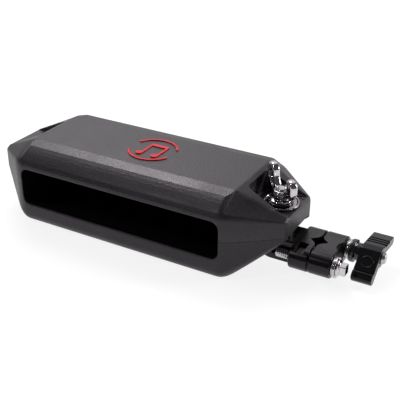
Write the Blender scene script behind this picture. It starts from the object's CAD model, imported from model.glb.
import bpy
import bmesh
import numpy as np
from mathutils import Matrix


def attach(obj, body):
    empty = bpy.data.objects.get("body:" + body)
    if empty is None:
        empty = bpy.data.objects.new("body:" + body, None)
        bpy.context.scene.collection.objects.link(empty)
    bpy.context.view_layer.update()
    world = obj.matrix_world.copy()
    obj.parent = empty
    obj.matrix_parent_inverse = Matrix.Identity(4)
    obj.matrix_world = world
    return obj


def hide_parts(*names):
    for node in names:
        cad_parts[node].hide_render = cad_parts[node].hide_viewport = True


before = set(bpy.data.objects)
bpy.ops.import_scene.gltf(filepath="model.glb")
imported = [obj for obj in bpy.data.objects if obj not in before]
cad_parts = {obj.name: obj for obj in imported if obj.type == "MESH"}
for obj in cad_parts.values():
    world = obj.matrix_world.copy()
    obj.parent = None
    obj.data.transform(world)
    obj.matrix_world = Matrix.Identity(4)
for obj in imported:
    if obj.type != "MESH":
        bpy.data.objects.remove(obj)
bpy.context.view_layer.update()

mm = 0.001  # sizes of pieces are in millimetres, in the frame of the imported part
scene = bpy.context.scene
print("frame loaded")

# camera, world, lamps and floor, with places in metres
camera = {
    "place": (0.29561, -0.44691, 0.30219),
    "right": (0.8699, 0.4932, 0.0043),
    "up": (-0.2332, 0.4036, 0.8847),
    "back": (0.4346, -0.7706, 0.4661),
    "lens": 71.70,
    "sensor": 36,
    "shift": (-0.0010, -0.0051),
}
studio = {
    "worldOnObject": 0.85,
    "worldSeen": 1.0,
    "brightSide": (-0.43, 0.60, 0.68),  # the studio is bright above and behind, and dark by the camera
    "brightFrom": 0.55,
    "brightTo": 0.97,
    "darkSide": 0.08,
    "floorSize": 3.0,
    "floorColour": 0.80,  # what lights the object from below
    "floorSeen": 0.24,  # what a view of the floor takes from its light, so that shadows stay pale
    "floorLift": 0.85,
    "lampsFace": (0.03, 0, 0.03),
    "lamps": (  # name, place, size, watts
        ("keyLamp", (-0.52, 0.50, 1.00), 0.42, 7.0),
        ("shoulderLamp", (-0.30, -0.57, 0.70), 0.10, 1.1),
        ("sideLamp", (1.00, 0.60, 0.42), 0.40, 8.0),
    ),
}


# a node with its plain values set and its inputs joined, as pairs of input and source
def addNode(tree, kind, links=(), **values):
    node = tree.nodes.new(kind)
    for key, value in values.items():
        setattr(node, key, value)
    for name, source in links:
        if hasattr(source, "is_linked"):
            tree.links.new(source, node.inputs[name])
        else:
            node.inputs[name].default_value = source
    return node


# the camera's three axes and its place are the columns of its matrix
def makeCamera(settings):
    data = bpy.data.cameras.new("photoCamera")
    data.sensor_width = settings["sensor"]
    data.lens = settings["lens"]
    data.shift_x, data.shift_y = settings["shift"]
    obj = bpy.data.objects.new("photoCamera", data)
    turn = np.eye(4)
    for column, key in enumerate(("right", "up", "back", "place")):
        turn[:3, column] = settings[key]
    obj.matrix_world = Matrix(turn.tolist())
    scene.collection.objects.link(obj)
    scene.camera = obj


# 1 for rays from the camera, a mirror or glass, so that these show the pale background
def seenDirectly(tree):
    path = addNode(tree, "ShaderNodeLightPath")
    fromCamera = path.outputs["Is Camera Ray"]
    sharp = addNode(tree, "ShaderNodeMath", ((0, fromCamera), (1, path.outputs["Is Glossy Ray"])),
                    operation="ADD")
    both = addNode(tree, "ShaderNodeMath", ((0, sharp.outputs[0]), (1, path.outputs["Is Transmission Ray"])),
                   operation="ADD", use_clamp=True)
    return both.outputs[0], fromCamera


# The world's strength rises smoothly from dark to bright with the dot product of a ray's direction and that
# of the bright side. The camera itself sees it white.
def makeWorld(settings):
    world = bpy.data.worlds.new("studio")
    world.use_nodes = True
    tree = world.node_tree
    tree.nodes.clear()
    seen, fromCamera = seenDirectly(tree)
    level = addNode(tree, "ShaderNodeMapRange", (("Value", seen), ("To Min", settings["worldOnObject"]),
                                                 ("To Max", settings["worldSeen"])))
    direction = addNode(tree, "ShaderNodeTexCoord").outputs["Generated"]
    towards = addNode(tree, "ShaderNodeVectorMath", ((0, direction), (1, settings["brightSide"])),
                      operation="DOT_PRODUCT")
    side = addNode(tree, "ShaderNodeMapRange", (
        ("Value", towards.outputs["Value"]), ("From Min", settings["brightFrom"]),
        ("From Max", settings["brightTo"]), ("To Min", settings["darkSide"]), ("To Max", 1.0)),
        interpolation_type="SMOOTHSTEP")
    shaded = addNode(tree, "ShaderNodeMath", ((0, level.outputs[0]), (1, side.outputs[0])),
                     operation="MULTIPLY")
    strength = addNode(tree, "ShaderNodeMath", ((0, shaded.outputs[0]), (1, fromCamera)), operation="MAXIMUM")
    light = addNode(tree, "ShaderNodeBackground", (("Color", (1, 1, 1, 1)), ("Strength", strength.outputs[0])))
    addNode(tree, "ShaderNodeOutputWorld", (("Surface", light.outputs[0]),))
    scene.world = world


# square lamps, each turned so that it looks along the line to the place that all of them face
def makeLamps(settings):
    for name, place, size, watts in settings["lamps"]:
        lamp = bpy.data.lights.new(name, "AREA")
        lamp.size = size
        lamp.energy = watts
        obj = bpy.data.objects.new(name, lamp)
        away = np.array(place) - settings["lampsFace"]
        obj.location = place
        obj.rotation_euler = (np.arctan2(np.hypot(away[0], away[1]), away[2]), 0,
                              np.arctan2(away[1], away[0]) + np.pi / 2)
        scene.collection.objects.link(obj)


# The floor lights the object with its own colour. For the camera, mirrors and glass a glow lifts it to nearly
# white, and a darker colour under the glow keeps the shadows.
def makeFloor(settings):
    half = settings["floorSize"]
    mesh = bpy.data.meshes.new("floor")
    corners = [(-half, -half, 0), (half, -half, 0), (half, half, 0), (-half, half, 0)]
    mesh.from_pydata(corners, [], [(0, 1, 2, 3)])
    floor = bpy.data.objects.new("floor", mesh)
    scene.collection.objects.link(floor)
    paper = bpy.data.materials.new("floorPaper")
    paper.use_nodes = True
    tree = paper.node_tree
    tree.nodes.clear()
    seen = seenDirectly(tree)[0]
    tone = addNode(tree, "ShaderNodeMapRange", (("Value", seen), ("To Min", settings["floorColour"]),
                                                ("To Max", settings["floorSeen"])))
    matt = addNode(tree, "ShaderNodeBsdfDiffuse", (("Color", tone.outputs[0]),))
    lift = addNode(tree, "ShaderNodeMath", ((0, seen), (1, settings["floorLift"])), operation="MULTIPLY")
    glow = addNode(tree, "ShaderNodeEmission", (("Color", (1, 1, 1, 1)), ("Strength", lift.outputs[0])))
    both = addNode(tree, "ShaderNodeAddShader", ((0, matt.outputs[0]), (1, glow.outputs[0])))
    addNode(tree, "ShaderNodeOutputMaterial", (("Surface", both.outputs[0]),))
    mesh.materials.append(paper)


makeCamera(camera)
makeWorld(studio)
makeLamps(studio)
makeFloor(studio)
scene.view_settings.view_transform = "Standard"
print("camera and studio ready")


# materials: shared effects are node groups, the shader itself stays in each material
def newGroup(name, inputs, outputs):
    group = bpy.data.node_groups.new(name, "ShaderNodeTree")
    for label, value in inputs:
        socket = group.interface.new_socket(name=label, in_out="INPUT", socket_type="NodeSocketFloat")
        socket.default_value = value
    for label in outputs:
        group.interface.new_socket(name=label, in_out="OUTPUT", socket_type="NodeSocketFloat")
    return group, group.nodes.new("NodeGroupInput"), group.nodes.new("NodeGroupOutput")


# moulded or cast grain: pebbles of the given count per metre over finer noise, and slow cloudy changes
def makeGrainGroup():
    group, given, result = newGroup("surfaceGrain", (("Count", 900.0), ("Clouds", 25.0)),
                                    ("Height", "Tone", "Cloud"))
    place = addNode(group, "ShaderNodeTexCoord").outputs["Object"]
    pebbles = addNode(group, "ShaderNodeTexVoronoi", (("Vector", place), ("Scale", given.outputs["Count"])),
                      feature="SMOOTH_F1")
    fine = addNode(group, "ShaderNodeTexNoise", (("Vector", place), ("Scale", given.outputs["Count"]),
                                                 ("Detail", 3.0), ("Roughness", 0.6)))
    cloud = addNode(group, "ShaderNodeTexNoise", (("Vector", place), ("Scale", given.outputs["Clouds"]),
                                                  ("Detail", 4.0), ("Roughness", 0.55)))
    height = addNode(group, "ShaderNodeMix", ((0, 0.5), (2, pebbles.outputs["Distance"]), (3, fine.outputs[0])))
    middle = (("From Min", 0.35), ("From Max", 0.65))  # where most values of the noise lie
    tone = addNode(group, "ShaderNodeMapRange", (("Value", fine.outputs[0]), *middle))
    patch = addNode(group, "ShaderNodeMapRange", (("Value", cloud.outputs[0]), *middle))
    for label, node in (("Height", height), ("Tone", tone), ("Cloud", patch)):
        group.links.new(node.outputs[0], result.inputs[label])
    return group


# rubbed edges: where the surface turns outwards sharply, broken up by noise
def makeWearGroup():
    group, given, result = newGroup("rubbedEdges", (("Start", 0.53), ("Full", 0.62)), ("Mask",))
    shape = addNode(group, "ShaderNodeNewGeometry").outputs["Pointiness"]
    place = addNode(group, "ShaderNodeTexCoord").outputs["Object"]
    noise = addNode(group, "ShaderNodeTexNoise", (("Vector", place), ("Scale", 220.0), ("Detail", 3.0)))
    edge = addNode(group, "ShaderNodeMapRange", (("Value", shape), ("From Min", given.outputs["Start"]),
                                                 ("From Max", given.outputs["Full"])))
    mask = addNode(group, "ShaderNodeMath", ((0, edge.outputs[0]), (1, noise.outputs[0])), operation="MULTIPLY")
    group.links.new(mask.outputs[0], result.inputs["Mask"])
    return group


grainGroup = makeGrainGroup()
wearGroup = makeWearGroup()
glossTint = (1.0, 0.90, 1.0, 1)  # highlights lean a little to pink
coatRoughness = 0.08
# dark, light and rubbed colour; then metal, roughness from and to, grains per metre and their depth in mm,
# specular and coat
finishes = {
    "shellPlastic": ((0.017, 0.0145, 0.017), (0.029, 0.0255, 0.0295), (0.060, 0.055, 0.060),
                     0, 0.37, 0.48, 700, 0.22, 0.42, 0),
    "shellInside": ((0.004, 0.004, 0.004), (0.006, 0.006, 0.006), (0.01, 0.01, 0.01),
                    0, 0.8, 0.9, 850, 0.05, 0.05, 0),
    "emblemRed": ((0.72, 0.012, 0.022), (0.80, 0.020, 0.030), (0.84, 0.05, 0.06),
                  0, 0.42, 0.52, 1200, 0.02, 0.20, 0),
    "chrome": ((0.50, 0.48, 0.50), (0.60, 0.58, 0.60), (0.85, 0.84, 0.84),
               1, 0.06, 0.13, 500, 0.003, 0.5, 0),
    "dishChrome": ((0.24, 0.235, 0.245), (0.32, 0.31, 0.325), (0.75, 0.74, 0.75),
                   1, 0.06, 0.13, 500, 0.003, 0.5, 0),
    "zincSteel": ((0.40, 0.39, 0.40), (0.50, 0.49, 0.50), (0.65, 0.64, 0.64),
                  1, 0.22, 0.36, 1500, 0.006, 0.5, 0),
    "darkSteel": ((0.07, 0.065, 0.065), (0.12, 0.11, 0.11), (0.35, 0.34, 0.34),
                  1, 0.20, 0.32, 1500, 0.006, 0.5, 0),
    "rubber": ((0.012, 0.012, 0.012), (0.02, 0.02, 0.02), (0.03, 0.03, 0.03),
               0, 0.7, 0.85, 700, 0.04, 0.3, 0),
    "castBlack": ((0.0035, 0.003, 0.0035), (0.0055, 0.005, 0.0055), (0.03, 0.03, 0.03),
                  0, 0.17, 0.26, 420, 0.012, 0.34, 0),
    "blackChrome": ((0.008, 0.008, 0.009), (0.012, 0.012, 0.013), (0.04, 0.04, 0.04),
                    0, 0.10, 0.18, 600, 0.004, 0.6, 0.2),
    "handlePlastic": ((0.0035, 0.0035, 0.004), (0.006, 0.0055, 0.006), (0.02, 0.02, 0.02),
                      0, 0.18, 0.26, 1100, 0.012, 0.30, 0),
}


# Fine grain mixes the dark and the light colour, rubbed edges get the third one, slow clouds change the
# roughness, and the height of the grain is the bump.
def makeMaterial(name):
    dark, light, worn, metal, roughFrom, roughTo, count, depth, specular, coat = finishes[name]
    material = bpy.data.materials.new(name)
    material.use_nodes = True
    tree = material.node_tree
    tree.nodes.clear()
    grain = addNode(tree, "ShaderNodeGroup", node_tree=grainGroup)
    grain.inputs["Count"].default_value = count
    wear = addNode(tree, "ShaderNodeGroup", node_tree=wearGroup)
    base = addNode(tree, "ShaderNodeMix", ((0, grain.outputs["Tone"]), (6, (*dark, 1)), (7, (*light, 1))),
                   data_type="RGBA")
    colour = addNode(tree, "ShaderNodeMix", ((0, wear.outputs["Mask"]), (6, base.outputs[2]), (7, (*worn, 1))),
                     data_type="RGBA")
    rough = addNode(tree, "ShaderNodeMapRange", (("Value", grain.outputs["Cloud"]), ("To Min", roughFrom),
                                                 ("To Max", roughTo)))
    bump = addNode(tree, "ShaderNodeBump", (("Height", grain.outputs["Height"]), ("Strength", 1.0),
                                            ("Distance", depth * mm)))
    shader = addNode(tree, "ShaderNodeBsdfPrincipled", (
        ("Base Color", colour.outputs[2]), ("Roughness", rough.outputs[0]), ("Normal", bump.outputs[0]),
        ("Metallic", float(metal)), ("Specular IOR Level", specular), ("Specular Tint", glossTint),
        ("Coat Weight", coat), ("Coat Roughness", coatRoughness)))
    addNode(tree, "ShaderNodeOutputMaterial", (("Surface", shader.outputs[0]),))
    return material


materials = {name: makeMaterial(name) for name in finishes}
print("materials ready")


# Each corner of a closed outline becomes an arc of the given radius that touches both of its sides.
# It works on any stack of outlines, whose last two axes are corner and coordinate.
def roundCorners(corners, radius, steps=4):
    p = np.asarray(corners, float)
    back, ahead = np.roll(p, 1, -2) - p, np.roll(p, -1, -2) - p
    lengthBack = np.maximum(np.linalg.norm(back, axis=-1, keepdims=True), 1e-9)
    lengthAhead = np.maximum(np.linalg.norm(ahead, axis=-1, keepdims=True), 1e-9)
    back, ahead = back / lengthBack, ahead / lengthAhead
    half = np.arccos(np.clip((back * ahead).sum(-1, keepdims=True), -0.999999, 0.999999)) / 2
    radius = np.broadcast_to(np.asarray(radius, float), p.shape[:-1])[..., None]
    reach = np.minimum(radius / np.tan(half), 0.49 * np.minimum(lengthBack, lengthAhead))
    middle = back + ahead
    middle = middle / np.maximum(np.linalg.norm(middle, axis=-1, keepdims=True), 1e-9)
    centre = p + middle * reach / np.cos(half)
    start, end, turn = p + back * reach - centre, p + ahead * reach - centre, np.pi - 2 * half
    t = np.linspace(0, 1, steps + 1)[:, None]
    turn = np.maximum(turn, 1e-6)[..., None, :]
    sweep = np.sin((1 - t) * turn) * start[..., None, :] + np.sin(t * turn) * end[..., None, :]
    arc = centre[..., None, :] + sweep / np.sin(turn)
    return arc.reshape(*p.shape[:-2], -1, 2)


# moves closed outlines inwards along their normals, each by its own distance
def inset(outline, distance):
    along = np.roll(outline, -1, -2) - np.roll(outline, 1, -2)
    along = along / np.maximum(np.linalg.norm(along, axis=-1, keepdims=True), 1e-9)
    normal = np.stack([along[..., 1], -along[..., 0]], -1)
    x, y = outline[..., 0], outline[..., 1]
    area = (x * np.roll(y, -1, -1) - np.roll(x, -1, -1) * y).sum(-1)
    return outline - np.sign(area)[..., None, None] * normal * np.asarray(distance, float)[..., None, None]


# the same outline in a stack, one copy for each distance, moved inwards by it
def insets(outline, distances):
    return inset(np.broadcast_to(outline, (len(distances), *outline.shape)), distances)


# a surface through rings of points: open ends get one face each, closed=True joins the last ring to the first
def loft(rings, closed=False):
    rows, count = rings.shape[:2]
    index = np.arange(rows * count).reshape(rows, count)
    first = index if closed else index[:-1]
    second = np.roll(index, -1, 0) if closed else index[1:]
    quads = np.stack([first, np.roll(first, -1, 1), np.roll(second, -1, 1), second], -1).reshape(-1, 4)
    caps = [] if closed else [index[0][::-1], index[-1]]
    return rings.reshape(-1, 3), quads, caps


# puts an outline at a height along the axis x, y or z, about a place
def placed(outline, height, axis, at):
    a, b = outline[..., 0], outline[..., 1]
    height = np.broadcast_to(height, a.shape)
    order = {"x": (height, a, b), "y": (a, height, b), "z": (a, b, height)}[axis]
    return np.stack(order, -1) + np.asarray(at, float)


# a profile of radius and height turned about an axis
def turned(profile, axis, at, steps=72, closed=False):
    profile = np.asarray(profile, float)
    angle = np.linspace(0, 2 * np.pi, steps, endpoint=False)
    outline = profile[:, None, :1] * np.stack([np.cos(angle), np.sin(angle)], -1)
    return loft(placed(outline, profile[:, 1:2], axis, at), closed)


# a turned piece with a hole: the closed profile is given by its corners and their radii
def ring(corners, edges, axis, at, steps=72):
    return turned(roundCorners(corners, edges), axis, at, steps, closed=True)


# a solid turned piece: the profile starts and ends on the axis
def pin(corners, edge, axis, at, steps=72):
    edges = np.full(len(corners), float(edge))
    edges[[0, -1]] = 0
    return turned(roundCorners(corners, edges), axis, at, steps)


# a plain round cutter, from one height to another
def bore(radius, low, high, axis, at, steps=40):
    return [turned(((radius, low), (radius, high)), axis, at, steps)]


# A screw thread: the radius falls and rises once in each turn and each pitch, and tapers at both ends.
def threaded(radius, low, high, axis, at, pitch=1.411, depth=0.62, chamfer=0.9):
    height = np.arange(low, high + 1e-6, pitch / 8)
    angle = np.linspace(0, 2 * np.pi, 40, endpoint=False)
    phase = height[:, None] / pitch - angle / (2 * np.pi)
    r = radius - depth * (0.5 - 0.5 * np.cos(2 * np.pi * phase)) ** 0.8
    ends = np.minimum(height - low, height[-1] - height)[:, None]
    r = np.minimum(r, radius - np.maximum(chamfer - ends, 0))
    outline = r[..., None] * np.stack([np.cos(angle), np.sin(angle)], -1)
    return loft(placed(outline, height[:, None], axis, at))


# a flat piece of the given outline whose rims are quarter rounds
def slab(outline, low, high, edge, axis, at, steps=4):
    a = np.linspace(0, np.pi / 2, steps + 1)
    sink = edge * (1 - np.sin(a))
    heights = np.concatenate([low + edge * (1 - np.cos(a)), high - edge * (1 - np.cos(a[::-1]))])
    rings = insets(outline, np.concatenate([sink, sink[::-1]]))
    return loft(placed(rings, heights[:, None], axis, at))


# merges doubles, takes out edges without length and turns all faces outwards
def tidyMesh(mesh):
    work = bmesh.new()
    work.from_mesh(mesh)
    bmesh.ops.remove_doubles(work, verts=work.verts, dist=2e-6)
    bmesh.ops.dissolve_degenerate(work, edges=work.edges, dist=1e-6)
    bmesh.ops.recalc_face_normals(work, faces=work.faces)
    work.to_mesh(mesh)
    work.free()


# one mesh from several surfaces in millimetres, each given by its points, its quads and its caps
def newObject(name, surfaces):
    points, faces, start = [], [], 0
    for place, quads, caps in surfaces:
        points.append(place)
        faces += (quads + start).tolist() + [(cap + start).tolist() for cap in caps]
        start += len(place)
    mesh = bpy.data.meshes.new(name)
    mesh.from_pydata((np.concatenate(points) * mm).tolist(), [], faces)
    tidyMesh(mesh)
    obj = bpy.data.objects.new(name, mesh)
    scene.collection.objects.link(obj)
    return obj


# joins or cuts a solid with others, one after another
def shapeWith(obj, steps):
    helpers = []
    for operation, surfaces in steps:
        helper = newObject("helper", surfaces)
        step = obj.modifiers.new("shape", "BOOLEAN")
        step.operation, step.solver, step.object = operation, "MANIFOLD", helper
        helpers.append(helper)
    result = bpy.data.meshes.new_from_object(obj.evaluated_get(bpy.context.evaluated_depsgraph_get()))
    obj.modifiers.clear()
    obj.data = result
    for helper in helpers:
        bpy.data.objects.remove(helper)
    tidyMesh(result)


# cuts a solid with others, one after another
def cutAll(obj, cutters):
    shapeWith(obj, [("DIFFERENCE", cutter) for cutter in cutters])


# material, shading, body, slot and node of a finished piece; rim rounds its sharp edges
def finishPiece(obj, material, body, node, rim=0, sharp=38, rimAngle=40):
    mesh = obj.data
    mesh.materials.clear()
    mesh.materials.append(materials[material])
    mesh.polygons.foreach_set("material_index", np.zeros(len(mesh.polygons), int))
    mesh.polygons.foreach_set("use_smooth", np.ones(len(mesh.polygons), bool))
    if rim:
        bevel = obj.modifiers.new("rims", "BEVEL")
        bevel.width = rim * mm
        bevel.segments = 3
        bevel.limit_method = "ANGLE"
        bevel.angle_limit = np.radians(rimAngle)
    else:
        mesh.set_sharp_from_angle(angle=np.radians(sharp))
    level = obj.modifiers.new("evenShading", "WEIGHTED_NORMAL")
    level.keep_sharp = True
    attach(obj, body)
    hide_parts(node)


# the two moulded shells
block = {
    "faceY": 47.9, "faceX": 86.5, "plateY": 26.7, "plateX": 85.3, "height": 61.0, "shoulderZ": 46.5,
    "shoulderAngle": 30, "lowPoints": 4,  # points of the shoulder that run to the nose's side, not to its top
    "stripRun": 8.5, "stripFall": 1.7, "stripX": 82.4, "stripEnd": 86.0,  # from curved to straight
    "pointShare": 0.97, "pointX": 91, "pointOver": 5,  # past the fold the strip narrows to a point
    "seam": 31.0, "baseEdge": 8.5, "baseEdgeX": 90, "baseEdgeOver": 40, "baseEdgeLoss": 0.75,
    "noseX": 121.3, "noseY": 20.5, "noseTop": 44.3, "noseLow": 26.0, "noseStep": 3.3, "noseEdge": 3.0,
    "tipEdge": 2.2, "footPower": 1.06, "footGap": 0.6, "faceBend": 6.0, "plateBend": 0.8, "baseBend": 5.0,
    "seamEdge": 0.25, "edge": 1.5, "stripEdge": 0.9, "plateEdge": 0.8,
    "rampX": 84, "rampOver": 6, "foldGrowth": 2.0, "plateGrowth": 9,  # edges get rounder on the ramps
}


# 0 before a fold and the distance past it, with a parabola across the fold
def softRamp(distance, width):
    d = np.clip(distance, -width, width)
    return np.where(distance > width, distance, (d + width) ** 2 / (4 * width))


# points of the shoulder: an arc of an ellipse from the slot face up to the bevel strip
def shoulderPoints(b, steps=8):
    run = b["faceY"] - b["plateY"] - b["stripRun"]
    rise = b["height"] - b["stripFall"] - b["shoulderZ"]
    angle = np.radians(b["shoulderAngle"])
    t = np.linspace(0, angle, steps + 1)
    return np.stack([b["faceY"] - run * (1 - np.cos(t)) / (1 - np.cos(angle)),
                     b["shoulderZ"] + rise * np.sin(t) / np.sin(angle)], -1)


# Stations along the length, closer together at the folds, and how much each section is scaled down to round
# off the nose's end.
def stations(b):
    inner = [0, 25, 50, 70, 76, 79, 80.5, 81.5, 82.4, 83.0, 83.6, 84.2, 84.8, 85.3, 85.6, 86, 86.5, 87.2]
    outer = np.concatenate([inner, np.arange(88, 95), [96, 98, 101, 104, 108, 112, 115, 118]])
    t = np.linspace(0, np.pi / 2, 8)
    a = np.concatenate([outer, b["noseX"] - b["tipEdge"] * (1 - np.sin(t))])
    sink = np.concatenate([np.zeros(len(outer)), b["tipEdge"] * (1 - np.cos(t))])
    return np.concatenate([-a[:0:-1], a]), np.concatenate([sink[:0:-1], sink])


# scales each section towards the middle of the seam, by its own amount
def closeEnds(outline, sink, b):
    scale = np.stack([1 - sink / b["noseY"], 1 - sink / (b["noseTop"] - b["seam"])], -1)[:, None]
    return (outline - (0, b["seam"])) * scale + (0, b["seam"])


# Outline of the upper half at each station along the length: its corners run from the seam over the shoulder
# and the strip to the plate, and beyond the folds they move in straight lines to the nose's tip.
def upperShell(b):
    x, sink = stations(b)
    a = np.abs(x)[:, None]
    arc, low = shoulderPoints(b), b["lowPoints"]
    face = np.concatenate([[[b["faceY"], b["seam"]]], arc[:low]])
    turn = np.linspace(0, np.pi / 2, 10)
    tip = np.stack([b["noseY"] - b["noseEdge"] * (1 - np.cos(turn)),
                    b["noseTop"] - b["noseEdge"] * (1 - np.sin(turn))], -1)
    toFace = (softRamp(a - b["faceX"], b["faceBend"]) / (b["noseX"] - b["faceX"]))[..., None]
    toPlate = (softRamp(a - b["plateX"], b["plateBend"]) / (b["noseX"] - b["plateX"]))[..., None]
    faceTip = np.concatenate([[[b["noseY"], b["seam"]]], tip[:low]])
    lower = face * (1 - toFace) + faceTip * toFace
    plate = np.array([[b["plateY"], b["height"]]]) * (1 - toPlate) + tip[-1] * toPlate
    share = (arc[low - 1, 0] - arc[low:, 0]) / (arc[low - 1, 0] - b["plateY"])
    share = np.tile(share, (len(x), 1))[..., None]
    share[:, -1] += (b["pointShare"] - share[:, -1]) * np.clip((b["pointX"] - a) / b["pointOver"], 0, 1)
    chord = lower[:, -1:] * (1 - share) + plate * share
    blend = np.clip((a - b["stripX"]) / (b["stripEnd"] - b["stripX"]), 0, 1)[..., None]
    upper = arc[low:] * (1 - blend) + chord * blend
    half = np.concatenate([lower, upper, plate], 1)
    corners = np.concatenate([half * (-1, 1), half[:, ::-1]], 1)
    onRamp = np.clip((a[:, 0] - b["rampX"]) / b["rampOver"], 0, 1)
    radius = np.full(half.shape[:2], b["edge"])
    radius[:, 0] = b["seamEdge"]
    radius[:, low] = b["edge"] + b["foldGrowth"] * onRamp
    radius[:, -2] = b["stripEdge"]
    radius[:, -1] = b["plateEdge"] + b["plateGrowth"] * onRamp
    radius = np.concatenate([radius, radius[:, ::-1]], 1)
    outline = closeEnds(roundCorners(corners, radius, 3), sink, b)
    return loft(placed(outline, x[:, None], "x", (0, 0, 0)))


# Outline of the lower half at each station: straight sides with a rounded foot, which rises to the nose.
def lowerShell(b):
    x, sink = stations(b)
    a = np.abs(x)[:, None]
    toFace = softRamp(a - b["faceX"], b["faceBend"]) / (b["noseX"] - b["faceX"])
    side = b["faceY"] * (1 - toFace) + b["noseY"] * toFace
    lowTip = b["noseX"] - b["noseStep"]
    rise = softRamp(a - b["faceX"], b["baseBend"]) / (lowTip - b["faceX"])
    foot = np.minimum(b["noseLow"] * rise ** b["footPower"], b["seam"] - b["footGap"])
    top = np.full_like(side, b["seam"])
    corners = np.stack([np.concatenate([side, side], 1), np.concatenate([top, foot], 1)], -1)
    corners = np.concatenate([corners * (-1, 1), corners[:, ::-1]], 1)
    edge = b["baseEdge"] * (1 - np.clip((a[:, 0] - b["baseEdgeX"]) / b["baseEdgeOver"], 0, b["baseEdgeLoss"]))
    seam = np.full_like(edge, b["seamEdge"])
    outline = closeEnds(roundCorners(corners, np.stack([seam, edge, edge, seam], -1), 9), sink, b)
    return loft(placed(outline, x[:, None], "x", (0, 0, 0)))


hollow = {
    "slotX": 83.5, "slotLow": 16.4, "slotHigh": 44.9, "slotRadius": 6.0, "lip": 1.1, "past": 2.0,
    "cavityX": 83.7, "wall": 6.0, "cavityEdge": 1.5, "cavityRadius": 2.0, "roofSide": 57.5, "roofFall": 0.5,
    "pocketX": 88.5, "pocketY": 15.6, "pocketFar": 124.0, "flare": 2.6, "pocketRadius": 4.0,
    "floor": 44.3, "floorEdge": 1.2, "above": 80, "roof": 40, "roofEdge": 0.01, "below": -10,
    "boltX": 107.0, "boltHole": 4.05, "holeFrom": 20, "holeTo": 60,
    "dotAt": (117.4, 14.4), "dotProfile": ((0, -1), (1.2, -1), (1.2, 0.5), (0, 0.6)), "dotEdge": 0.35,
}


# the outer section moved one wall inwards, carried along the length
def cavityCutter(h, b):
    half, top = b["faceY"] - h["wall"], b["height"] - h["wall"]
    rise = b["height"] - b["stripFall"] - b["shoulderZ"]
    corner = b["shoulderZ"] + rise / 3 - h["wall"] / 2
    right = ((half, h["wall"]), (half, corner), (b["plateY"], top))
    left = tuple((-y, z) for y, z in right[::-1])
    outline = roundCorners(left[-1:] + right + left[:-1], h["cavityRadius"])
    return [slab(outline, -h["cavityX"], h["cavityX"], h["cavityEdge"], "x", (0, 0, 0))]


# the slot's outline at depths from outside the face to the cavity, opened out in a rounded lip
def slotCutter(h, b):
    x, z = h["slotX"], (h["slotHigh"] - h["slotLow"]) / 2
    angle = np.linspace(0, np.pi / 2, 5)
    grow = np.concatenate([[h["lip"], h["lip"]], h["lip"] * (1 - np.sin(angle[1:])), [0]])
    depth = np.concatenate([[-h["past"], 0.0], h["lip"] * (1 - np.cos(angle[1:])), [h["wall"] + h["past"]]])
    outline = roundCorners(((-x, -z), (x, -z), (x, z), (-x, z)), h["slotRadius"], 8)
    middle = (0, 0, (h["slotLow"] + h["slotHigh"]) / 2)
    return [loft(placed(insets(outline, -grow), depth[:, None] - b["faceY"], "y", middle))]


# a pocket's outline widens towards the nose's end; it is carried upwards with a quarter round at the bottom
def pocketCutter(h, b, side, low, high, edge):
    far = h["pocketFar"]
    wide = h["pocketY"] + h["flare"] * (far - h["pocketX"]) / (b["noseX"] - h["pocketX"])
    corners = ((h["pocketX"], -h["pocketY"]), (far, -wide), (far, wide), (h["pocketX"], h["pocketY"]))
    outline = roundCorners(np.array(corners) * side, (h["pocketRadius"], 0.1, 0.1, h["pocketRadius"]), 6)
    angle = np.linspace(0, np.pi / 2, 5)
    sink = np.concatenate([edge * (1 - np.sin(angle)), [0]])
    height = np.concatenate([low + edge * (1 - np.cos(angle)), [high]])
    return [loft(placed(insets(outline, sink), height[:, None], "z", (0, 0, 0)))]


# a small turned dome on the rim of a pocket
def dot(h, side):
    place = (side * h["dotAt"][0], side * h["dotAt"][1], h["floor"])
    return [pin(h["dotProfile"], h["dotEdge"], "z", place, 32)]


# Faces of the cavity and of the slot's inner walls get the rough, dark finish of the inside. The small margins
# take in faces that lie on the cuts and keep out those of the outside.
def paintInside(obj, h, b):
    mesh = obj.data
    centre = np.empty(len(mesh.polygons) * 3)
    mesh.polygons.foreach_get("center", centre)
    x, y, z = np.abs(centre.reshape(-1, 3).T / mm)
    slope = h["roofSide"] - h["roofFall"] * np.maximum(y - b["plateY"], 0)
    roof = np.minimum(b["height"] - h["wall"] + 0.2, slope)
    cavity = (x < h["cavityX"] + 0.3) & (y < b["faceY"] - h["wall"] + 0.1) & (z > h["wall"] - 0.5) & (z < roof)
    walls = (x < h["slotX"] + 0.2) & (y < b["faceY"] - h["lip"] - 0.2)
    walls &= (z > h["slotLow"] - 0.2) & (z < h["slotHigh"] + 0.2)
    mesh.materials.append(materials["shellInside"])
    mesh.polygons.foreach_set("material_index", (cavity | walls).astype(int))


sides = (1, -1)
inner = [("DIFFERENCE", cavityCutter(hollow, block)), ("DIFFERENCE", slotCutter(hollow, block))]
topPockets = [("DIFFERENCE", pocketCutter(hollow, block, side, hollow["floor"], hollow["above"],
                                          hollow["floorEdge"])) for side in sides]
holes = [("DIFFERENCE", bore(hollow["boltHole"], hollow["holeFrom"], hollow["holeTo"], "z",
                             (side * hollow["boltX"], 0, 0), 48)) for side in sides]
dots = [("UNION", dot(hollow, side)) for side in sides]
lowPockets = [("DIFFERENCE", pocketCutter(hollow, block, side, hollow["below"], hollow["roof"],
                                          hollow["roofEdge"])) for side in sides]
upper = newObject("upperShell", [upperShell(block)])
shapeWith(upper, inner + topPockets + holes + dots)
finishPiece(upper, "shellPlastic", "block", "upper_shell")
paintInside(upper, hollow, block)
lower = newObject("lowerShell", [lowerShell(block)])
shapeWith(lower, inner + lowPockets)
finishPiece(lower, "shellPlastic", "block", "lower_shell")
paintInside(lower, hollow, block)
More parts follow.
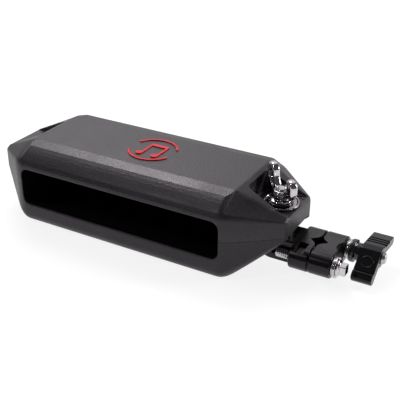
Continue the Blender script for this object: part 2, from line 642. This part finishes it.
print("shells made", len(upper.data.polygons), len(lower.data.polygons))


# the raised mark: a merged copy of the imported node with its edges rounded
def copyNode(name, node):
    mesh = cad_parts[node].data.copy()
    mesh.name = name
    work = bmesh.new()
    work.from_mesh(mesh)
    bmesh.ops.remove_doubles(work, verts=work.verts, dist=2e-6)
    bmesh.ops.dissolve_limit(work, angle_limit=np.radians(1), verts=work.verts, edges=work.edges)
    work.to_mesh(mesh)
    work.free()
    obj = bpy.data.objects.new(name, mesh)
    scene.collection.objects.link(obj)
    return obj


finishPiece(copyNode("raisedMark", "emblem"), "emblemRed", "block", "emblem", rim=0.22)
print("raised mark made")

# mounting bolt with its washers and wing nut, all about one upright axis
bolt = {
    "x": 107.0, "radius": 3.95, "shank": 3.9, "hole": 4.05, "low": 6.6, "high": 56.5, "threadFrom": 36.0,
    "hexAcross": 12.7, "hexHeight": 5.3, "hexCorner": 0.5, "hexEdge": 0.6,
    "shankFrom": 10.6, "shankEdge": 0.2, "overlap": 1,
}
washers = {
    "floor": 44.3, "cupRadius": 12.9, "cupSheet": 1.2, "cupHeight": 2.3, "cupBend": 0.9,
    "cupInnerBend": (0.8, 0.5), "cupEdges": (0.1, 0.5, 0.5, 0.4, 0.4, 0.4, 0.5, 0.1),  # run and rise of the bend
    "flatRadius": 8.6, "flatLow": 45.6, "flatHigh": 47.06,
    "padRadius": 11.0, "padLow": 29.04, "padHigh": 31.0, "padEdge": 0.7,
}
wingNut = {
    "base": 47.1, "turn": -43,
    "hub": (  # radius and height
        (3.95, 0), (7.6, 0), (7.6, 1.3), (5.5, 2.0), (5.3, 3.9), (6.8, 4.9), (6.8, 5.9), (5.1, 8.2),
        (3.95, 8.2)),
    "hubEdges": (0.2, 0.6, 0.5, 0.5, 0.6, 0.4, 0.4, 0.5, 0.2),
    "wing": (  # distance from the axis, height above the base, corner radius
        (3.2, 1.0, 0.3), (7.2, 1.0, 0.8), (10.2, 3.4, 5.0), (18.4, 9.0, 6.0), (20.6, 12.8, 4.5),
        (20.6, 19.0, 4.4), (18.0, 22.0, 4.0), (13.0, 22.0, 4.0), (9.8, 19.0, 4.0), (9.0, 13.0, 5.0),
        (5.2, 8.6, 3.0), (3.2, 8.2, 0.3)),
    "thick": 5.6, "edge": 2.0, "rim": 2.0, "rimFall": 0.25,
    "recess": 1.5, "recessFoot": 1.0, "recessBend": (0.35, 0.15),
}


# corners of a regular outline, given its count of sides and the width across two flat ones
def polygon(count, across, turn=0):
    angle = np.radians(turn) + np.arange(count) * 2 * np.pi / count
    return across / 2 / np.cos(np.pi / count) * np.stack([np.cos(angle), np.sin(angle)], -1)


# hexagonal head, plain shank and thread, one above the other
def mountingBolt(b):
    at, joint = (b["x"], 0, 0), b["threadFrom"] + b["overlap"]
    hexagon = roundCorners(polygon(6, b["hexAcross"]), b["hexCorner"], 3)
    head = slab(hexagon, b["low"], b["low"] + b["hexHeight"], b["hexEdge"], "z", at)
    corners = ((0, b["shankFrom"]), (b["shank"], b["shankFrom"]), (b["shank"], joint), (0, joint))
    thread = threaded(b["radius"], b["threadFrom"], b["high"], "z", at)
    return [head, pin(corners, b["shankEdge"], "z", at), thread]


# a flat floor and an upright rim of one sheet, turned about the bolt
def dishedWasher(w, b):
    r, t, h, hole, bend = w["cupRadius"], w["cupSheet"], w["cupHeight"], b["hole"], w["cupBend"]
    run, rise = w["cupInnerBend"]
    corners = ((hole, 0), (r - bend, 0), (r, bend), (r, h),
               (r - t, h), (r - t, t + rise), (r - t - run, t), (hole, t))
    return [ring(corners, w["cupEdges"], "z", (b["x"], 0, w["floor"]), 96)]


# a turned rectangle with rounded edges
def flatWasher(outer, low, high, axis, at, edge=0.3):
    hole = bolt["hole"]
    return [ring(((hole, low), (outer, low), (outer, high), (hole, high)), edge, axis, at)]


# One wing: its outline in distance and height is carried through the thickness in rings, from the recessed
# floor of one face over the raised rim and the rounded edge to the other face.
def wing(n, turn):
    points = np.array(n["wing"])
    outline = roundCorners(points[:, :2], points[:, 2], 5)
    half, edge, rim = n["thick"] / 2, n["edge"], n["rim"]
    run, rise = n["recessBend"]
    a = np.linspace(0, np.pi / 2, 5)
    sink = np.concatenate([[rim + n["recessFoot"], rim + run, rim], edge * (1 - np.sin(a))])
    depth = np.concatenate([[half - n["recess"], half - n["recess"] + rise, half - n["rimFall"]],
                            half - edge * (1 - np.cos(a))])
    sink, depth = np.concatenate([sink, sink[::-1]]), np.concatenate([-depth, depth[::-1]])
    rings = insets(outline, sink)
    angle = np.radians(turn)
    along, across = np.array((np.cos(angle), np.sin(angle), 0)), np.array((-np.sin(angle), np.cos(angle), 0))
    place = rings[..., :1] * along + depth[:, None, None] * across + rings[..., 1:] * np.array((0, 0, 1))
    return loft(place + (bolt["x"], 0, n["base"]))


# a turned hub with two wings opposite each other
def wingNutSurfaces(n):
    hub = ring(n["hub"], n["hubEdges"], "z", (bolt["x"], 0, n["base"]))
    return [hub, wing(n, n["turn"]), wing(n, n["turn"] + 180)]


boltAxis = (bolt["x"], 0, 0)
finishPiece(newObject("mountingBolt", mountingBolt(bolt)),
            "zincSteel", "bracket", "mounting_bolt")
finishPiece(newObject("dishedWasher", dishedWasher(washers, bolt)),
            "dishChrome", "block", "cup_washer")
finishPiece(newObject("nutWasher", flatWasher(washers["flatRadius"], washers["flatLow"], washers["flatHigh"],
                                              "z", boltAxis)),
            "darkSteel", "block", "nut_washer")
finishPiece(newObject("wingNut", wingNutSurfaces(wingNut)), "chrome", "nut", "wing_nut")
finishPiece(newObject("rubberWasher", flatWasher(washers["padRadius"], washers["padLow"], washers["padHigh"],
                                                 "z", boltAxis, washers["padEdge"])),
            "rubber", "pad", "rubber_washer")
print("mounting bolt, washers and wing nut made")

# clamp: jaws and captive nuts
clamp = {
    "screwY": 13.3, "screwZ": 15.1, "jawRadius": 8.5, "innerFrom": 123.0, "innerTo": 136.5, "outerFrom": 137.3,
    "outerTo": 152.6, "gapX": 136.9, "jawEdge": 0.9, "hollowDepth": 2.8, "hollowEnd": 6.9, "hollowTop": 30,
    "tabRadius": 12.0, "tabTo": 20, "tabEdge": 0.9, "bossRadius": 11.0, "bossTop": 29.0, "bossEdge": 0.8,
    "hole": 4.05, "notchFrom": 126.35, "notchTo": 132.85, "notchWide": 11.4, "notchEdges": (0.4, 0.3),
    "hexRoom": 13.0, "sharp": 0.01, "above": 40, "below": -5, "inJaw": 136, "pastInner": 140, "pastOuter": 160,
    "star": ((6.6, 0), (2.4, 3.5), (0, 7.6), (-2.4, 3.5), (-6.6, 0), (-2.4, -3.5), (0, -7.6), (2.4, -3.5)),
    "starEdge": 0.25, "starFrom": 2, "starTo": 28,
    "nutHalf": 5.55, "nutCorner": 0.7, "nutEdge": 0.6, "nutFrom": 126.5, "nutTo": 132.7, "nutHole": 4.02,
    "nutBore": (120, 140), "jawRim": 0.45, "nutRim": 0.25,
}
square = np.array(((-1, -1), (1, -1), (1, 1), (-1, 1)))


# a jaw: its outline is two half circles round the screws, joined by straight lines, carried along the screws
def jawBlank(name, c, low, high):
    y, r = c["screwY"], c["jawRadius"]
    outline = roundCorners(square * (y + r, r), r * 0.9999, 20)
    return newObject(name, [slab(outline, low, high, c["jawEdge"], "x", (0, 0, c["screwZ"]))])


# the rod's hole between the jaws, with four points
def starCutter(c):
    outline = roundCorners(c["star"], c["starEdge"], 2)
    return [slab(outline, c["starFrom"], c["starTo"], c["sharp"], "z", (c["gapX"], 0, 0))]


# a round cutter about one of the screws' axes
def screwBore(c, side, low, high):
    return bore(c["hole"], low, high, "x", (0, side * c["screwY"], c["screwZ"]))


# a notch for a captive nut: a box between two heights
def notchCutter(c, side, low, high):
    x0, x1, y, half = c["notchFrom"], c["notchTo"], side * c["screwY"], c["notchWide"] / 2
    corner, edge = c["notchEdges"]
    outline = roundCorners(((x0, y - half), (x1, y - half), (x1, y + half), (x0, y + half)), corner)
    return [slab(outline, low, high, edge, "z", (0, 0, 0))]


# Jaw, tab and round boss are joined. Then the rod's hole, the nuts' notches, the room for the bolt's head and
# the three screw holes are cut.
def innerJaw(c):
    low, top = c["screwZ"] - c["jawRadius"], c["screwZ"] + c["jawRadius"]
    jaw = jawBlank("innerJaw", c, c["innerFrom"], c["innerTo"])
    r, end, z, half = c["tabRadius"], c["tabTo"], c["screwZ"], c["notchWide"] / 2
    tab = roundCorners(((-r, -r), (end, -r), (end, r), (-r, r)), (r * 0.999, 0.1, 0.1, r * 0.999), 16)
    profile = ((0, low + 1), (c["bossRadius"], low + 1), (c["bossRadius"], c["bossTop"]), (0, c["bossTop"]))
    joined = ([slab(tab, low, top, c["tabEdge"], "z", boltAxis)], [pin(profile, c["bossEdge"], "z", boltAxis)])
    headRoom = [slab(polygon(6, c["hexRoom"]), 0, low + bolt["hexHeight"], c["sharp"], "z", boltAxis)]
    cutters = (starCutter(c), notchCutter(c, -1, z - half, c["above"]), notchCutter(c, 1, c["below"], z + half),
               headRoom, bore(c["hole"], 0, c["above"], "z", boltAxis),
               screwBore(c, -1, bolt["x"], c["pastInner"]), screwBore(c, 1, bolt["x"], c["pastInner"]))
    shapeWith(jaw, [("UNION", piece) for piece in joined] + [("DIFFERENCE", cutter) for cutter in cutters])
    return jaw


# the hollow is part of an upright cylinder, whose radius follows from the hollow's width and depth
def outerJaw(c):
    reach, depth = c["screwY"] - c["hollowEnd"], c["hollowDepth"]
    r = (reach ** 2 + depth ** 2) / (2 * depth)
    jaw = jawBlank("outerJaw", c, c["outerFrom"], c["outerTo"])
    scoop = bore(r, 0, c["hollowTop"], "z", (c["outerTo"] - depth + r, 0, 0), 160)
    cutAll(jaw, (starCutter(c), scoop, screwBore(c, -1, c["inJaw"], c["pastOuter"]),
                 screwBore(c, 1, c["inJaw"], c["pastOuter"])))
    return jaw


# a square nut with a round hole
def captiveNut(c, side):
    at = (0, side * c["screwY"], c["screwZ"])
    outline = roundCorners(square * c["nutHalf"], c["nutCorner"])
    nut = newObject("captiveNut", [slab(outline, c["nutFrom"], c["nutTo"], c["nutEdge"], "x", at)])
    cutAll(nut, (bore(c["nutHole"], *c["nutBore"], "x", at),))
    return nut


finishPiece(innerJaw(clamp), "castBlack", "bracket", "inner_jaw", rim=clamp["jawRim"])
finishPiece(outerJaw(clamp), "castBlack", "jaw", "outer_jaw", rim=clamp["jawRim"])
finishPiece(captiveNut(clamp, -1), "darkSteel", "bracket", "key_nut", rim=clamp["nutRim"])
finishPiece(captiveNut(clamp, 1), "darkSteel", "bracket", "clamp_nut", rim=clamp["nutRim"])
print("jaws and captive nuts made")

# the two clamp screws and their washers, with places along the screws
screws = {
    "threadRadius": 3.95, "shankRadius": 3.88, "keyEnd": 111.7, "clampEnd": 119.0, "threadTo": 137.0,
    "shankFrom": 136, "keyShankTo": 157, "clampShankTo": 177.6, "shankEdge": 0.1,
    "collarFrom": 155.9, "collarTo": 157.8, "collarRadius": 5.9, "collarWall": 1.1,
    "collarTop": (4.6, 4.2, 0.5), "collarEdge": 0.35,  # radius below and above, and the rise between them
    "keyAcross": 7.0, "keyTo": 162.3, "keyEdge": 0.7, "keySunk": 0.4,
    "splitFrom": 152.6, "splitTo": 154.5, "splitInner": 4.1, "splitRadius": 6.5, "splitEdge": 0.3, "climb": 0.3,
    "cut": 9, "flatTo": 155.86, "flatRadius": 7.4,
}


# a plain shank about one of the screws' axes
def shank(s, high, at):
    low, r = s["shankFrom"], s["shankRadius"]
    return pin(((0, low), (r, low), (r, high), (0, high)), s["shankEdge"], "x", at)


# thread, shank, a collar with a sloping shoulder, and a square head
def keyBolt(s, c):
    at = (0, -c["screwY"], c["screwZ"])
    r, low, high = s["collarRadius"], s["collarFrom"], s["collarTo"]
    foot, crown, rise = s["collarTop"]
    corners = ((0, low), (r, low), (r, low + s["collarWall"]), (foot, high),
               (crown, high + rise), (0, high + rise))
    outline = roundCorners(square * (s["keyAcross"] / 2), s["keyEdge"])
    head = slab(outline, high - s["keySunk"], s["keyTo"], s["keyEdge"], "x", at)
    return [threaded(s["threadRadius"], s["keyEnd"], s["threadTo"], "x", at), shank(s, s["keyShankTo"], at),
            pin(corners, s["collarEdge"], "x", at), head]


# thread and shank, which the handle hides further out
def clampScrew(s, c):
    at = (0, c["screwY"], c["screwZ"])
    return [threaded(s["threadRadius"], s["clampEnd"], s["threadTo"], "x", at), shank(s, s["clampShankTo"], at)]


# A split spring washer: a rounded section carried round the axis from one side of the cut to the other,
# while it climbs a little along the axis. The cut is at the bottom.
def springWasher(s, c, side):
    thick, inside, outside = s["splitTo"] - s["splitFrom"] - s["climb"], s["splitInner"], s["splitRadius"]
    section = roundCorners(((inside, 0), (outside, 0), (outside, thick), (inside, thick)), s["splitEdge"], 3)
    angle = np.radians(np.linspace(s["cut"] / 2, 360 - s["cut"] / 2, 73))[:, None]
    along = s["splitFrom"] + section[:, 1] + s["climb"] * angle / (2 * np.pi)
    place = np.stack([along, section[:, 0] * np.sin(angle), -section[:, 0] * np.cos(angle)], -1)
    return [loft(place + (0, side * c["screwY"], c["screwZ"]))]


finishPiece(newObject("keyBolt", keyBolt(screws, clamp)), "chrome", "key", "key_bolt")
finishPiece(newObject("clampScrew", clampScrew(screws, clamp)),
            "zincSteel", "handle", "clamp_screw")
for name, side in (("key", -1), ("screw", 1)):
    at = (0, side * clamp["screwY"], clamp["screwZ"])
    finishPiece(newObject(name + "SplitWasher", springWasher(screws, clamp, side)),
                "zincSteel", "jaw", name + "_split_washer")
    finishPiece(newObject(name + "FlatWasher",
                          flatWasher(screws["flatRadius"], screws["splitTo"], screws["flatTo"], "x", at)),
                "chrome", "jaw", name + "_flat_washer")
print("screws and washers made")

# wing handle with its collar and cap
handle = {
    "from": 163.2, "to": 177.7, "edge": 0.7, "rise": 3.9,  # both wings start this far above the screw's axis
    "upperWay": (0.9932, -0.1166), "lowerWay": (-0.7972, -0.6037),
    "upperWing": ((9, -3.3, 3.0), (26.4, -3.3, 3.2), (26.4, 3.3, 3.2)),  # along, across, corner radius
    "upperRoot": (1.5, 3.3, 3.0),
    "lowerWing": ((1.0, 3.3, 2.0), (17.4, 3.3, 0.3), (17.9, 2.7, 0.3), (18.5, 4.4, 1.7), (24.6, 4.2, 3.2),
                  (24.6, -3.9, 3.6), (17.0, -3.7, 3.0), (8.5, -4.2, 3.0)),
    "hub": ((-2.5, -7.0, 4.0), (4.5, -6.4, 4.0)),
    "grooves": (4, 3, 2), "groovePitch": 3.5, "grooveHalf": 0.95, "grooveDepth": 1.0, "grooveEdge": 0.35,
    "ringAlong": 10.3, "ringAcross": 3.3, "ringRadius": 4.05, "ringBead": 0.42,
    "collar": ((0, 155.9), (8.2, 155.9), (8.2, 159.3), (6.4, 160.0), (6.4, 163.2), (0, 163.2)),
    "collarEdge": 0.7,
    "cap": ((0, 177.7), (4.4, 177.7), (4.4, 178.4), (3.2, 180.3), (0, 180.3)), "capEdge": 0.5,
}


# Outline of the handle about the screw's axis: along the underside of the upper wing, round its end and back
# over its grooves, then down the panel, round the lip and back under the lower wing to the hub.
def handleOutline(h):
    start = np.array((0, h["rise"]))
    along, down = np.array(h["upperWay"]), np.array(h["lowerWay"])
    up, out = np.array((-along[1], along[0])), np.array((down[1], -down[0]))
    half, deep, top = h["grooveHalf"], h["grooveDepth"], h["upperRoot"][1]
    grooves = [(i * h["groovePitch"] + s, top - d, h["grooveEdge"]) for i in h["grooves"]
               for s, d in ((half, 0), (half * 0.5, deep), (-half * 0.5, deep), (-half, 0))]
    upper = [(*(start + u * along + v * up), r) for u, v, r in (*h["upperWing"], *grooves, h["upperRoot"])]
    lower = [(*(start + u * down + v * out), r) for u, v, r in h["lowerWing"]]
    return np.array([*upper, *lower, *h["hub"]])


# the outline carried along the screw, with a raised ring on the panel: a small circle carried round a large one
def wingHandle(h, c):
    at = (0, c["screwY"], c["screwZ"])
    points = handleOutline(h)
    body = slab(roundCorners(points[:, :2], points[:, 2], 5), h["from"], h["to"], h["edge"], "x", at)
    down = np.array((0, *h["lowerWay"]))
    out = np.array((0, down[2], -down[1]))
    centre = np.array(((h["from"] + h["to"]) / 2, c["screwY"], c["screwZ"] + h["rise"])) \
        + h["ringAlong"] * down + h["ringAcross"] * out
    a = np.linspace(0, 2 * np.pi, 64, endpoint=False)[:, None, None]
    b = np.linspace(0, 2 * np.pi, 12, endpoint=False)[:, None]
    reach = h["ringRadius"] + h["ringBead"] * np.cos(b)
    bead = centre + reach * (np.cos(a) * np.array((1, 0, 0)) + np.sin(a) * down) \
        + h["ringBead"] * np.sin(b) * out
    return [body, loft(bead, closed=True)]


# a solid piece turned about the clamp screw
def onScrew(corners, edge, c):
    return [pin(corners, edge, "x", (0, c["screwY"], c["screwZ"]))]


finishPiece(newObject("handleCollar", onScrew(handle["collar"], handle["collarEdge"], clamp)),
            "blackChrome", "handle", "handle_collar")
finishPiece(newObject("wingHandle", wingHandle(handle, clamp)),
            "handlePlastic", "handle", "wing_handle")
finishPiece(newObject("handleCap", onScrew(handle["cap"], handle["capEdge"], clamp)),
            "zincSteel", "handle", "handle_cap")
print("handle made")
